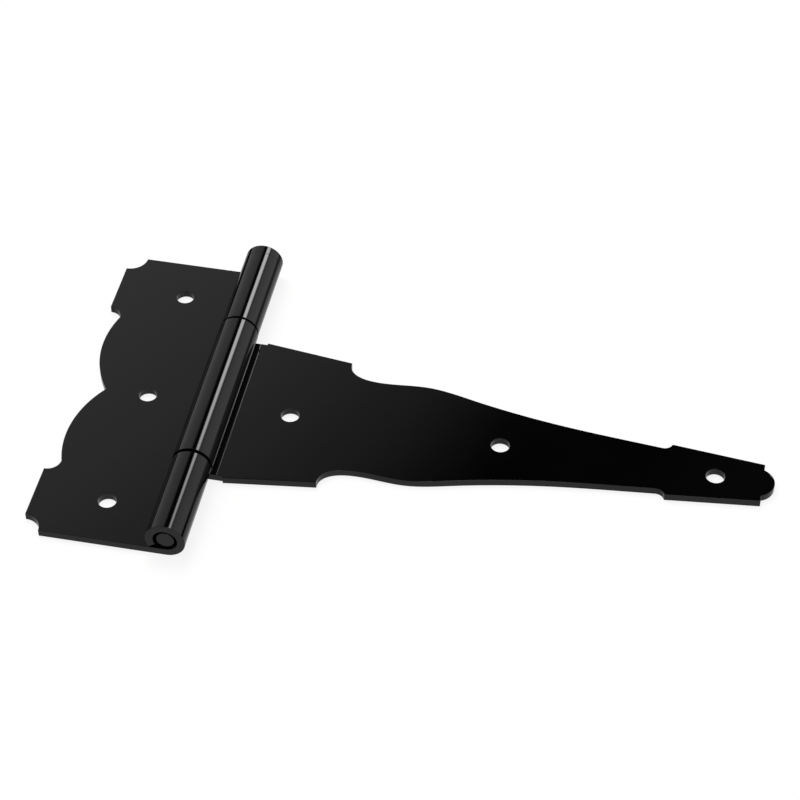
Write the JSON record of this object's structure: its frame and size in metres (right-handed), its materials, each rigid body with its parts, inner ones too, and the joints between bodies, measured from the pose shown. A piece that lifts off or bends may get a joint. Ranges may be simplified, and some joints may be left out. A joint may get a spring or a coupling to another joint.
{
  "type": "tee hinge",
  "caption": "Decorative black tee hinge: a notched cross leaf and a long scrolled strap leaf, rolled from sheet around a headed pin, that lets a gate or door swing.",
  "frame": {"origin": "on the back plane, in the middle of the cross leaf's line of screw holes", "axes": "+X along the strap towards its tip, +Y along the pin towards its head, +Z out of the front"},
  "size_m": [0.255, 0.1485, 0.0143],
  "materials": {
    "black_coat": "gloss black coat over steel"
  },
  "bodies": {
    "cross": {"cross_leaf": "black_coat", "hinge_pin": "black_coat"},
    "strap": {"strap_leaf": "black_coat"}
  },
  "joints": [
    {"name": "strap_swing", "type": "hinge", "parent": "cross", "child": "strap", "pos_m": [0.02595, 0, 0.00715], "axis": [0, -1, 0], "range_deg": [0, 180]}
  ]
}
